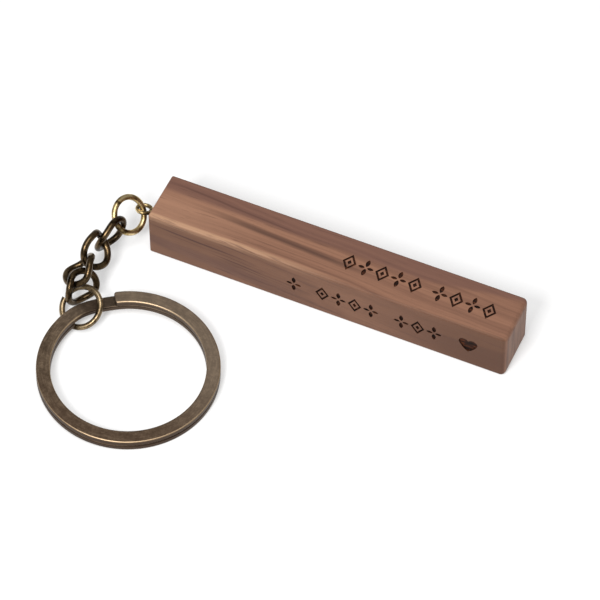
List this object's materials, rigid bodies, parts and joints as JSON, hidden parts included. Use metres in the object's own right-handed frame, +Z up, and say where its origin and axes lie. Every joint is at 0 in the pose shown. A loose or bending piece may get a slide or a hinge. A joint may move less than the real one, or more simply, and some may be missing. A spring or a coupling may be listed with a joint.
{
  "type": "keychain",
  "caption": "Engraved square wooden bar on a short metal chain with a split ring for keys, laid out on a table.",
  "frame": {"origin": "centre of the bar's bottom face, on the table", "axes": "+X along the bar, away from the chain; +Z up; the split ring lies towards -Y"},
  "size_m": [0.0737, 0.0492, 0.0095],
  "materials": {
    "walnut": "oiled, with burnt engraving",
    "antique_brass": "antique, bright on worn edges",
    "dark_bronze": "dark antique bronze",
    "brushed_bronze": "brushed antique bronze"
  },
  "bodies": {
    "bar": {"wooden_bar": "walnut", "screw_eye": "antique_brass"},
    "upper_ring": {"jump_ring_upper": "antique_brass"},
    "link_1": {"chain_link_1": "dark_bronze"},
    "link_2": {"chain_link_2": "dark_bronze"},
    "link_3": {"chain_link_3": "dark_bronze"},
    "link_4": {"chain_link_4": "dark_bronze"},
    "lower_ring": {"jump_ring_lower": "antique_brass"},
    "key_ring": {"split_ring": "brushed_bronze"}
  },
  "joints": [
    {"name": "upper_ring_swing", "type": "hinge", "parent": "bar", "child": "upper_ring", "pos_m": [-0.03551, -0.00122, 0.00483], "axis": [0.898, -0.4184, 0.1359], "range_deg": [-7, 2.5]},
    {"name": "link_1_swing", "type": "hinge", "parent": "upper_ring", "child": "link_1", "pos_m": [-0.03702, -0.00591, 0.00527], "axis": [0.6275, -0.0965, -0.7726], "range_deg": [-18, 2.5]},
    {"name": "link_2_swing", "type": "hinge", "parent": "link_1", "child": "link_2", "pos_m": [-0.03818, -0.01064, 0.00566], "axis": [0.3538, 0.139, 0.9249], "range_deg": [-11, 9.5]},
    {"name": "link_3_swing", "type": "hinge", "parent": "link_2", "child": "link_3", "pos_m": [-0.0386, -0.01498, 0.00538], "axis": [-0.4152, -0.0773, 0.9065], "range_deg": [-60, 10]},
    {"name": "link_4_swing", "type": "hinge", "parent": "link_3", "child": "link_4", "pos_m": [-0.03841, -0.01939, 0.00474], "axis": [0.8848, 0.0309, 0.465], "range_deg": [-88, 7]},
    {"name": "lower_ring_swing", "type": "hinge", "parent": "link_4", "child": "lower_ring", "pos_m": [-0.03853, -0.02114, 0.00219], "axis": [-0.1475, -0.4197, 0.8956], "range_deg": [-68, 2.2]},
    {"name": "key_ring_swing", "type": "hinge", "parent": "lower_ring", "child": "key_ring", "pos_m": [-0.03634, -0.02156, 0.00235], "axis": [-0.1581, -0.488, 0.8584], "range_deg": [-24, 7]}
  ]
}
